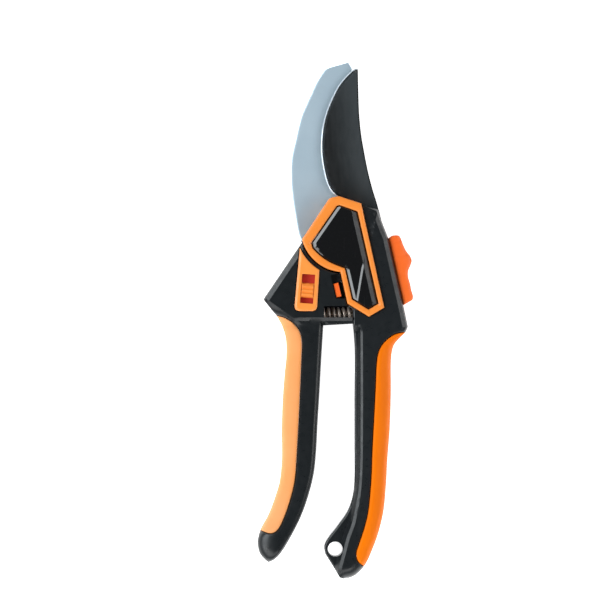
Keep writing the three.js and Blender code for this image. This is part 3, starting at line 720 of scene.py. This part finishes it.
def under(head_line):
    """The back of a handle: rounded along its edges, and higher under the head."""

    def bottom(places, depths):
        head = step_up(places[:, 1], head_line - 3, head_line + 3)
        return 0.55 * head + roll(depths, 3.8, 3.8) * (1 - head) + head * roll(depths, 1.4, 1.3)

    return bottom


right_under, left_under = under(-44), under(-38)


def shell(name, whole, inlay_side, low, high, cutters,
          added=(), holes=(), creases=(), seam_gap=GAP, angle=20):
    """Half of a moulded handle: the whole outline without the inlay's side of its seam."""
    seam = grown(inlay_side, seam_gap)

    def depth(places):
        parts = [whole.depth(places), -inlay_side.depth(places) - seam_gap]
        parts += [-hole.depth(places) for hole in holes]
        return np.min(parts, 0)

    def top(places, depths):
        seam_lip = roll(np.maximum(np.abs(inlay_side.depth(places)) - GAP, 0), SEAM_WIDTH, SEAM_DROP)
        return high(places, whole.edge(places)) - seam_lip

    piece = relief(name, [whole, seam, *holes], top, lambda p, d: low(p, whole.edge(p)),
                   1.4, ROLL_RINGS, creases, depth=depth)
    if added:
        carve(piece, added, "UNION")
    carve(piece, cutters)
    return shade(piece, angle)


def inlay(name, whole, side, high, low):
    """The soft grip: it stands proud of the shells, with a rounded lip at the seam."""

    def depth(places):
        return np.minimum(whole.depth(places), side.depth(places))

    def top(places, depths):
        edge = whole.edge(places)
        lip = roll(side.edge(places), 1.0, 0.55) + fall(edge, 1.5, INLAY_RISE)
        return high(places, edge) + INLAY_RISE - lip

    def bottom(places, depths):
        return np.maximum(low(places, whole.edge(places)) + roll(side.edge(places), 0.9, 0.45), 0)

    return shade(relief(name, [whole, side], top, bottom, 1.2, ROLL_RINGS, depth=depth), 50)


def spring_pocket(start, end):
    """The round seat of an end of the spring, lying along X."""
    made = lathe("cutter", ((0, start), (POCKET_R, start), (POCKET_R, end), (0, end)), sides=32)
    for vertex in made.data.vertices:
        x, y, z = vertex.co
        vertex.co = (z, SPRING["y"] * MM + y, SPRING["z"] * MM - x)
    return made


def bored(table, start, radius, low, high):
    """Round cutters at the fasteners whose names start so."""
    places = [place for name, place in table.items() if name.startswith(start)]
    return [slab(circle(radius, place, 12), low, high) for place in places]


def fastener_holes(rivets, screws):
    """The holes in a back shell, wider at the fasteners' heads."""
    kinds = ((RIVETS, rivets, 2.3, 3.3, 2.4), (SCREWS, screws, 1.7, 3.0, 3.3))
    return [hole for table, start, shank, head, depth in kinds
            for radius, top in ((shank, CLEAR), (head, depth))
            for hole in bored(table, start, radius, BELOW, top)]


def in_lock(across, along, spacing=9):
    """A rectangle in the lock's own directions: across its travel, and along it."""
    return rectangle(LOCK["place"], LOCK["tilt"], across, along, spacing)


def right_shells():
    eye = circle(EYE["radius"], EYE["place"], 5)
    pocket_end = SPRING["right"] + 2 * GAP
    front_cutters = [
        slab(grown(badge_outline, GAP), BLADE_ROOF, ABOVE),
        slab(circle(17), 8, 13),
        slab(block((-30, 30), (-2.5, 30)), 8.2, 12.95),
        slab(in_lock((-6, 34), (-3.3, 3.3 + LOCK["travel"]), 4), 8, 11.8),
        spring_pocket(-1, pocket_end),
        *bored(SCREWS, "right", SCREW_SHANK_R, *SCREW_REACH),
    ]
    creases = [route(*head_crease), right_ridge, beside_ridge(lit_width),
               beside_ridge(lambda y: lit_width(y) + STEEP_WIDTH)]
    front = shell("right_front_moulding", right_outline, right_inlay_side, level(PARTING + HAIRLINE),
                  right_top, front_cutters, holes=[eye], creases=creases)
    back_cutters = [
        slab(grown(hook_outline, GAP), HOOK_SEAT, 20), slab(beside_head, BELOW, 20),
        slab(web_outline, BELOW, HOOK_SEAT), slab(circle(8.8), BELOW, 2.7),
        slab(circle(BOLT_R), BELOW, CLEAR), *fastener_holes("hook", "right"),
        slab(circle(1.35, CLICK_BALL, 12), 4.4, CLEAR), spring_pocket(-1, pocket_end),
    ]
    disc = circle(DISC_R, step=3)
    base = relief("cutter", [disc], level(HOOK_SEAT), lambda p, d: 0.6 + roll(d, 1.2, 1.1), 3,
                  (0.08, 0.3, 0.7, 1.2))
    back = shell("right_back_moulding", right_outline, right_inlay_side, right_under, level(PARTING),
                 back_cutters, added=[base], holes=[eye], seam_gap=HAIRLINE, angle=30)
    return front, back


def left_shells():
    bay = block(BAY_SIDES, (BAY_BOTTOM, BAY_TOP))
    notch = in_lock((-1.4, 8), (-3.3, 3.3))
    run = in_lock((-1.4, 8), (3, 6.8))
    pocket_start = SPRING["left"] - 2 * GAP
    front_cutters = [
        slab(circle(HEAD_ROOM_R), HOOK_SEAT, 9.2), slab(grown(blade_outline, GAP), 8, BLADE_ROOF),
        slab(block(BAY_SIDES, (LIP_TOP, BAY_TOP)), MOUTH_FLOOR, ABOVE), slab(bay, MOUTH_FLOOR, BLADE_ROOF),
        spring_pocket(pocket_start, 8), slab(notch, MOUTH_FLOOR, ABOVE),
        slab(block((-3.3, 8), (-29.6, -26)), MOUTH_FLOOR, ABOVE),
        slab(run, MOUTH_FLOOR, heights("lock_bar")[0] + 2.3), slab(run, TONGUE_UNDERSIDE - GAP, ABOVE),
        slab(grown(plate_outline, 0.45), 16.6, ABOVE), slab(selector_rectangle(0.8), 14.6, ABOVE),
        *bored(SCREWS, "left", SCREW_SHANK_R, *SCREW_REACH),
    ]
    front = shell("left_front_moulding", left_outline, left_inlay_side, level(PARTING + HAIRLINE),
                  left_top, front_cutters, creases=[*left_lip, route(*left_corner)])
    back_cutters = [
        slab(circle(HEAD_ROOM_R), HOOK_SEAT, 12), slab(bay, 5.3, 12), spring_pocket(pocket_start, 8),
        *fastener_holes("blade", "left"),
    ]
    back = shell("left_back_moulding", left_back_outline, left_inlay_side, left_under, level(PARTING),
                 back_cutters, seam_gap=HAIRLINE)
    return front, back


# ---- the selector ----


def in_selector(across, along, spacing=0.5):
    return rectangle(SELECTOR["place"], SELECTOR["tilt"], across, along, spacing)


def selector_rectangle(margin):
    """The slot, grown by a margin."""
    width, length = SELECTOR["half_width"] + margin, SELECTOR["half_length"] + margin
    return in_selector((-width, width), (-length, length))


def selector_plate(low, high):
    slot = selector_rectangle(0)
    left_side = route((-18.75, -8.05), (-21, -32.6), Through((-20.6, -34.2), (-19, -34.9)))

    def top(places, depths):
        outer, inner = plate_outline.depth(places), -slot.depth(places)
        bevel = fall(distance(places, left_side), 1.0, 0.45)
        return high - np.maximum(bevel, fall(outer, 0.6, 0.35)) - roll(inner, 0.25, 0.2)

    rings = (0.1, 0.25, 0.6, 1.0)
    return shade(relief("selector_plate_face", [plate_outline, slot], top, level(low), 0.8, rings), 18)


def selector_button(low, high):
    pad, ridge_height = high - 0.45, 0.45
    middle, half, width = BUTTON["offset"], BUTTON["half_length"], BUTTON["half_width"]
    turn = math.radians(SELECTOR["tilt"])

    def top(places, depths):
        away = places - np.array(SELECTOR["place"])
        along = -away[:, 0] * math.sin(turn) + away[:, 1] * math.cos(turn) - middle
        ridge = np.max([np.clip(1 - (along - r) ** 2 / 0.3, 0, 1) for r in BUTTON["ridges"]], 0)
        return pad + ridge_height * np.sqrt(ridge) * np.clip(depths / 0.25, 0, 1) - roll(depths, 0.3, 0.25)

    face = in_selector((-width, width), (middle - half, middle + half), 0.3)
    piece = relief("selector_button_pad", [face], top, level(low), 0.22, (0.08, 0.2))
    flange = in_selector((-3.3, 3.3), (middle - half - 0.4, middle + half + 0.4))
    carve(piece, [slab(flange, low, 16.5)], "UNION")
    return shade(piece, 30)


def selector_indicator(low, high):
    piece = relief("selector_indicator_strip", [selector_rectangle(0.5)],
                   lambda p, d: high - roll(d, 0.2, 0.15), level(low), 1, (0.1, 0.2))
    return shade(piece, 30)


# ---- the lock ----


RAIL_HEIGHT = 1.95


def lock_bar(low, high):
    """An orange tongue on a short stem, and the black rail that carries it."""
    tongue = in_lock((-1.1, 1.1), (-3, 3), 0.5)
    stem = in_lock((-1.1, 1.1), (-3, -0.6), 0.5)
    bar = in_lock((-1.1, 28.2), (-2.6, 2.6), 0.5)
    piece = relief("lock_bar_tongue", [tongue], lambda p, d: high - roll(d, 0.35, 0.3),
                   level(TONGUE_UNDERSIDE), 0.7, (0.08, 0.2, 0.35))
    rail = relief("cutter", [bar], lambda p, d: low + RAIL_HEIGHT - roll(d, 0.2, 0.15),
                  level(low), 2, (0.1, 0.2))
    carve(piece, [slab(stem, low + 1, TONGUE_UNDERSIDE + 0.5), rail], "UNION")
    for face in piece.data.polygons:
        face.material_index = int(face.center.z < TONGUE_UNDERSIDE * MM)
    return shade(piece, 30)


def lock_slider(low, high):
    inner = route((18.9, -4), (25.25, -32.4))
    valleys = ((24.4, -5.0), (27.4, -10.6), (27.2, -19.1), (28.35, -25), (29.2, -29.3))

    def top(places, depths):
        lines = [np.array([(x, y), (x - 5.0, y - 1.1)]) for x, y in valleys]
        groove = np.max([np.clip(1 - distance(places, line) / 0.8, 0, 1) for line in lines], 0)
        outward = distance(places, inner)
        groove = 0.35 * groove**1.5 * np.clip(outward / 6, 0, 1)
        return high - roll(depths, 1.1, 1.0) - 0.02 * outward**2 - groove

    def bottom(places, depths):
        return low + roll(depths, 1.1, 1.0)

    piece = relief("lock_slider_thumb", [slider_outline], top, bottom, 0.6, (0.06, 0.2, 0.45, 0.8, 1.2))
    bar_low = heights("lock_bar")[0]
    socket = in_lock((0, 28.5), (-2.9, 2.9), 4)
    carve(piece, [slab(socket, bar_low - GAP, bar_low + RAIL_HEIGHT + GAP)])
    return shade(piece, 40)


# ---- the spring and the fasteners ----


def opening_spring():
    wire, coil = SPRING["wire"], SPRING["coil"]
    left, right = SPRING["left"] + wire, SPRING["right"] - wire
    closed, flat = 1.0, 1.1 * wire  # the turns that lie flat at each end, and their height
    turns = SPRING["turns"] + closed
    path = []
    for turn in np.linspace(0, turns, int(turns * 26)):
        x = np.interp(turn, (0, closed, turns - closed, turns), (left, left + flat, right - flat, right))
        angle = 2 * math.pi * turn
        path.append((x, SPRING["y"] + coil * math.cos(angle), SPRING["z"] + coil * math.sin(angle)))
    return shade(tube("opening_spring_coil", path, wire), 60)


def pivot_bolt():
    profile = [
        (0, 0.5), (2.0, 0.5), (2.2, 0.45), (2.6, 0.02), (3.1, 0), (7.4, 0), (7.9, 0.15), (8.3, 0.5),
        (8.5, 1), (8.5, 2.3), (8.4, 2.4), (4, 2.4), (4, 16.3), (3.55, 16.8), (0, 16.8)]
    piece = lathe("pivot_bolt_turned", profile)
    carve(piece, [slab(rectangle((0, 0), 20, (-5.6, 5.6), (-0.75, 0.75), spacing=20), -1, 1.1)])
    return shade(piece, 28)


def turned(name, place, head, shank):
    """A fastener: its head rises from its lowest point, and its shank's heights are from its top."""
    low, high = heights(name)
    profile = [(radius, low + z) for radius, z in head] + [(radius, high + z) for radius, z in shank]
    return lathe(name + "_turned", profile, place, 40)


def rivet(name, place):
    head = ((0, 0), (1.5, 0.04), (2.3, 0.2), (2.8, 0.5), (3, 0.85), (3, 1.2), (2, 1.2))
    return shade(turned(name, place, head, ((2, 0), (0, 0))), 35)


def screw(name, place):
    head = ((0, 0), (1.7, 0.03), (2.3, 0.2), (2.6, 0.5), (2.7, 0.9), (2.7, 2), (1.4, 2))
    piece = turned(name, place, head, ((1.4, -0.6), (0.7, 0), (0, 0)))
    low = heights(name)[0]
    for turn in (30, 120):
        arm = rectangle(place, turn, (-1.5, 1.5), (-0.3, 0.3), spacing=9)
        carve(piece, [slab(arm, low - 1, low + 1.1)])
    return shade(piece, 30)


# ---- materials ----


class Finish:
    """A node material, built up from one Principled shader in object space."""

    def __init__(self, name, **sockets):
        self.name = name
        self.material = bpy.data.materials.new(name)
        self.material.use_nodes = True
        self.tree = self.material.node_tree
        self.shader = self.tree.nodes["Principled BSDF"]
        self.place = self.add("ShaderNodeTexCoord").outputs["Object"]
        for socket, value in sockets.items():
            self.shader.inputs[socket.replace("_", " ")].default_value = value

    def add(self, kind, links=None, **settings):
        node = self.tree.nodes.new(kind)
        for key, value in settings.items():
            setattr(node, key, value)
        for socket, value in (links or {}).items():
            self.feed(node.inputs[socket], value)
        return node

    def feed(self, socket, value):
        if isinstance(value, bpy.types.NodeSocket):
            self.tree.links.new(value, socket)
        else:
            socket.default_value = value

    def noise(self, per_mm, detail, roughness=0.5, stretch=(1, 1, 1)):
        """Noise with that many features per millimetre, stretched along an axis where below 1."""
        placed = self.add("ShaderNodeMapping", {"Vector": self.place, "Scale": stretch})
        node = self.add("ShaderNodeTexNoise", {
            "Vector": placed.outputs[0], "Scale": per_mm / MM, "Detail": detail, "Roughness": roughness})
        return node.outputs["Fac"]

    def spread(self, value, low, high, start=0.3, end=0.7):
        """Turns a 0-1 value between start and end into low to high."""
        return self.add("ShaderNodeMapRange", {
            "Value": value, "From Min": start, "From Max": end, "To Min": low, "To Max": high}).outputs[0]

    def mix(self, factor, first, second):
        node = self.add("ShaderNodeMix", data_type="RGBA")
        self.feed(node.inputs[0], factor)
        self.feed(node.inputs[6], first)
        self.feed(node.inputs[7], second)
        return node.outputs[2]

    def calc(self, operation, first, second, third=0.5, clamp=False):
        return self.add("ShaderNodeMath", {0: first, 1: second, 2: third}, operation=operation,
                        use_clamp=clamp).outputs[0]

    def worn(self, amount):
        """Up to that amount along outward edges, broken up by noise, and 0 elsewhere."""
        edge = self.add("ShaderNodeNewGeometry").outputs["Pointiness"]
        sharp = self.spread(edge, 0, 1, 0.52, 0.6)
        return self.calc("MULTIPLY", sharp, self.spread(self.noise(0.5, 5), 0, amount, 0.45, 0.65))

    def colour(self, value):
        self.feed(self.shader.inputs["Base Color"], value)

    def rough(self, value):
        self.feed(self.shader.inputs["Roughness"], value)

    def bump(self, value, height, under=None):
        """Surface relief of that height in millimetres."""
        links = {"Height": value, "Distance": height * MM, "Strength": 1.0}
        if under is not None:
            links["Normal"] = under
        made = self.add("ShaderNodeBump", links).outputs[0]
        self.feed(self.shader.inputs["Normal"], made)
        return made


def rgb(red, green, blue):
    """A colour given as it looks on a screen, 0 to 255, as linear light."""
    share = [c / 255 for c in (red, green, blue)]
    return tuple(c / 12.92 if c <= 0.04045 else ((c + 0.055) / 1.055) ** 2.4 for c in share) + (1,)


def moulded(name, base, light, roughness, grain, **sockets):
    """Injection-moulded plastic: a spark-eroded grain, faint flow marks and rubbed edges."""
    made = Finish(name, **sockets)
    flow = made.noise(0.03, 4, stretch=(1, 0.4, 1))
    tinted = made.mix(made.spread(flow, 0, 1), rgb(*base), rgb(*light))
    rubbed = made.mix(made.worn(0.5), tinted, rgb(*[min(255, c + 30) for c in light]))
    made.colour(rubbed)
    fine = made.noise(5, 2, 0.6)
    made.rough(made.spread(made.noise(0.35, 5), *roughness))
    made.bump(fine, grain)
    return made


def steel(name, base, light, roughness, stretch, grain, metallic=1.0):
    """Metal with a grain, drawn along an axis where stretch is below 1."""
    made = Finish(name, Metallic=metallic)
    lines = made.noise(9, 3, 0.7, stretch)
    cloud = made.noise(0.06, 4)
    made.colour(made.mix(made.spread(cloud, 0, 1), rgb(*base), rgb(*light)))
    made.rough(made.spread(made.noise(2.5, 4, 0.6, stretch), *roughness))
    made.bump(lines, grain)
    return made


def soft_grip(name, inner, outer, seam_node):
    """Thermoplastic rubber, matt, with painted light across it: inner is the colour of its left side, which
    faces the key lamp, and outer that of its right side.
    """
    made = Finish(name, Specular_IOR_Level=0.1)
    low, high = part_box(seam_node)
    # painted sheen and shade: the colour runs from the lit left side of the grip to its right side, with
    # random tone from noise on top
    across = made.add("ShaderNodeSeparateXYZ", {"Vector": made.place}).outputs["X"]
    side = made.spread(across, 0, 1, low.x, high.x)
    sheen_and_tone_share = made.calc("ADD", side, made.spread(made.noise(0.08, 4), -0.15, 0.15))
    made.colour(made.mix(sheen_and_tone_share, rgb(*inner), rgb(*outer)))
    made.rough(made.spread(made.noise(0.5, 5), 0.42, 0.58))
    skin = made.bump(made.noise(3.2, 3, 0.6), 0.02)
    made.bump(made.noise(0.25, 3), 0.05, skin)
    return made


def gloss_black():
    """Polished plastic with hairline scratches and a trace of dust."""
    made = Finish("gloss_black", Specular_IOR_Level=0.8)
    dust = made.spread(made.noise(1.2, 5), 0, 1, 0.5, 0.8)
    made.colour(made.mix(dust, rgb(9, 10, 12), rgb(16, 18, 20)))
    scratches = made.spread(made.noise(1.6, 2, 0.7, (1, 0.05, 1)), 0, 1, 0.66, 0.7)
    made.rough(made.spread(scratches, 0.12, 0.3, 0, 1))
    made.bump(made.noise(0.3, 2), 0.004)
    return made


def coated_steel():
    """Blade steel under a dark low-friction coating, with a painted sheen that makes it paler towards the tip
    and the spine.
    """
    made = Finish("coated_steel")
    split = made.add("ShaderNodeSeparateXYZ", {"Vector": made.place}).outputs
    # painted sheen: the coating is lightened towards the spine (+X) and the tip (+Y), where a reflection
    # would light it
    slant = made.calc("MULTIPLY_ADD", split["X"], 0.55, made.calc("MULTIPLY", split["Y"], 0.16))
    painted_sheen = made.spread(slant, 0, 1, 2.3 * MM, 11.3 * MM)
    cloud = made.spread(made.noise(0.05, 5), -0.12, 0.12)
    tinted = made.mix(made.calc("ADD", painted_sheen, cloud, clamp=True), rgb(9, 12, 14), rgb(52, 58, 61))
    made.colour(made.mix(made.worn(0.25), tinted, rgb(110, 114, 118)))
    made.rough(made.spread(made.noise(0.6, 5, 0.6, (1, 0.2, 1)), 0.36, 0.5))
    made.bump(made.noise(6, 3, 0.6), 0.006)
    return made


FINISHES = {made.name: made.material for made in (
    moulded("black_nylon", (20, 24, 26), (28, 32, 35), (0.25, 0.36), 0.012, Specular_IOR_Level=0.4),
    # The grips' colour pairs hold painted light: each grip is lighter on its left side, towards the key lamp,
    # and the left grip's pale peach is partly painted sheen of that lamp.
    soft_grip("right_soft_grip", (250, 124, 0), (238, 114, 0), "right_grip_inlay"),
    soft_grip("left_soft_grip", (240, 170, 114), (240, 158, 92), "left_grip_inlay"),
    steel("satin_steel", (188, 210, 224), (198, 219, 232), (0.42, 0.54), (1, 0.7, 1), 0.012, 0.62),
    coated_steel(),
    moulded("orange_plastic", (246, 138, 48), (252, 150, 60), (0.3, 0.42), 0.008),
    # a lighter copy of orange_plastic for the selector plate: painted light that brightens the plate in its
    # shaded recess
    moulded("lit_orange_plastic", (252, 150, 62), (255, 160, 72), (0.3, 0.42), 0.008),
    gloss_black(),
    moulded("lock_orange", (255, 104, 26), (255, 116, 36), (0.36, 0.48), 0.012),
    moulded("red_plastic", (226, 60, 46), (236, 72, 54), (0.36, 0.48), 0.01),
    # pale and warm: partly the spring's own tone, partly painted light raised to make up for the shade the
    # coils lie in inside the spring bay
    steel("spring_steel", (226, 206, 190), (246, 234, 224), (0.25, 0.4), (1, 1, 1), 0.006, 0.35),
    steel("zinc_steel", (178, 182, 184), (206, 206, 196), (0.24, 0.4), (1, 1, 1), 0.004),
    steel("bronze", (170, 126, 74), (190, 146, 92), (0.3, 0.45), (1, 1, 0.2), 0.004),
    steel("ground_steel", (216, 226, 234), (228, 236, 244), (0.4, 0.5), (0.1, 1, 1), 0.003),
    # near-black and dull: painted shade on the cutting blade's shoulder and spine bevel
    moulded("painted_shade_steel", (8, 9, 10), (13, 14, 15), (0.5, 0.6), 0.004, Specular_IOR_Level=0.15),
)}


# ---- the assembly ----


def fit(piece, body, node, slot, finishes=()):
    """Puts a piece on its body in place of its CAD node, with its slot's finish or others."""
    for finish in finishes or (slot,):
        piece.data.materials.append(FINISHES[finish])
    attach(piece, body)
    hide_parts(node)


for side, shells in (("right", right_shells()), ("left", left_shells())):
    for part, piece in zip(("front", "back"), shells):
        fit(piece, side + "_handle", f"{side}_{part}_shell", "black_nylon")
for side, grip in (("right", (right_outline, right_inlay_side, right_top, right_under)),
                   ("left", (left_outline, left_inlay_side, left_top, left_under))):
    fit(inlay(side + "_grip_skin", *grip), side + "_handle", side + "_grip_inlay", side + "_soft_grip")
for make, body, slot, *finishes in (
        (hook_blade, "right_handle", "satin_steel", "satin_steel", "black_nylon"),
        (cutting_blade, "left_handle", "coated_steel", "coated_steel", "ground_steel", "painted_shade_steel"),
        (badge_rim, "right_handle", "orange_plastic"),
        (badge_panel, "right_handle", "gloss_black", "gloss_black", "black_nylon"),
        (selector_plate, "left_handle", "orange_plastic", "lit_orange_plastic"),
        (selector_indicator, "left_handle", "red_plastic"),
        (selector_button, "selector", "orange_plastic"),
        (lock_bar, "lock", "lock_orange", "lock_orange", "black_nylon"),
        (lock_slider, "lock", "lock_orange")):
    node = make.__name__
    fit(make(*heights(node)), body, node, slot, finishes)
fit(pivot_bolt(), "right_handle", "pivot_bolt", "zinc_steel")
for name, place in RIVETS.items():
    fit(rivet(name, place), "right_handle" if name.startswith("hook") else "left_handle", name, "zinc_steel")
for name, place in SCREWS.items():
    fit(screw(name, place), name.split("_")[0] + "_handle", name, "zinc_steel")

spring = opening_spring()
spring.data.materials.append(FINISHES["spring_steel"])
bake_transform(spring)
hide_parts("opening_spring")

for node, finish in (("pivot_washer", "zinc_steel"), ("pivot_nut", "zinc_steel"), ("pivot_bush", "bronze"),
                     ("lock_click_ball", "zinc_steel"), ("lock_click_spring", "spring_steel")):
    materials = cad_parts[node].data.materials
    materials.clear()
    materials.append(FINISHES[finish])


# ---- floor, light and camera ----

CENTRE = Vector((-0.0187, -0.0302, 0.012))
CAMERA_RANGE = 1.6
VIEW_WIDTH = 0.255


def paper_floor():
    mesh = bpy.data.meshes.new("floor")
    half, low = 4.0, cad_box[0].z - 0.0002
    mesh.from_pydata([(-half, -half, low), (half, -half, low), (half, half, low), (-half, half, low)], [],
                     [(0, 1, 2, 3)])
    made = Finish("pale_floor", Emission_Color=(1, 1, 1, 1), Emission_Strength=0.9)
    made.colour(made.mix(made.noise(0.004, 3), rgb(247, 247, 246), rgb(251, 251, 250)))
    made.rough(made.spread(made.noise(0.02, 3), 0.85, 0.95))
    mesh.materials.append(made.material)
    floor = placed("floor", mesh)


def softbox(name, place, size, power, colour=(1, 1, 1)):
    light = bpy.data.lights.new(name, "AREA")
    light.shape = "RECTANGLE"
    light.size, light.size_y = size
    light.energy = power
    light.color = colour
    lamp = placed(name, light)
    lamp.location = place
    lamp.rotation_mode = "QUATERNION"
    lamp.rotation_quaternion = (CENTRE - Vector(place)).to_track_quat("-Z", "Y")
    lamp.visible_camera = False


def sky():
    """Pale at the horizon and dark overhead."""
    world = bpy.data.worlds.new("studio")
    bpy.context.scene.world = world
    world.use_nodes = True
    tree = world.node_tree
    place, split, ramp = [tree.nodes.new("ShaderNode" + kind)
                          for kind in ("TexCoord", "SeparateXYZ", "MapRange")]
    for socket, value in {"From Min": 0.0, "From Max": 0.8, "To Min": 0.6, "To Max": 0.1}.items():
        ramp.inputs[socket].default_value = value
    background = tree.nodes["Background"].inputs
    tree.links.new(place.outputs["Generated"], split.inputs[0])
    tree.links.new(split.outputs["Z"], ramp.inputs["Value"])
    tree.links.new(ramp.outputs[0], background["Strength"])
    background["Color"].default_value = (0.97, 0.985, 1, 1)


def camera():
    data = bpy.data.cameras.new("camera")
    data.sensor_width = 36
    data.lens = data.sensor_width * CAMERA_RANGE / VIEW_WIDTH
    data.clip_start, data.clip_end = 0.05, 50
    made = placed("camera", data)
    made.location = CENTRE + Vector((0, 0, CAMERA_RANGE))
    bpy.context.scene.camera = made


paper_floor()
softbox("key", (-1.0, 0.22, 1.0), (1.5, 0.55), 15, (0.92, 0.97, 1))
softbox("fill", (1.1, 0.1, 0.95), (1.2, 0.5), 6.5)
softbox("side", (-0.75, -0.8, 1.0), (0.9, 0.5), 5)
softbox("foot", (0.15, -1.2, 0.95), (1.2, 0.45), 6)
sky()
camera()
bpy.context.scene.view_settings.view_transform = "Standard"
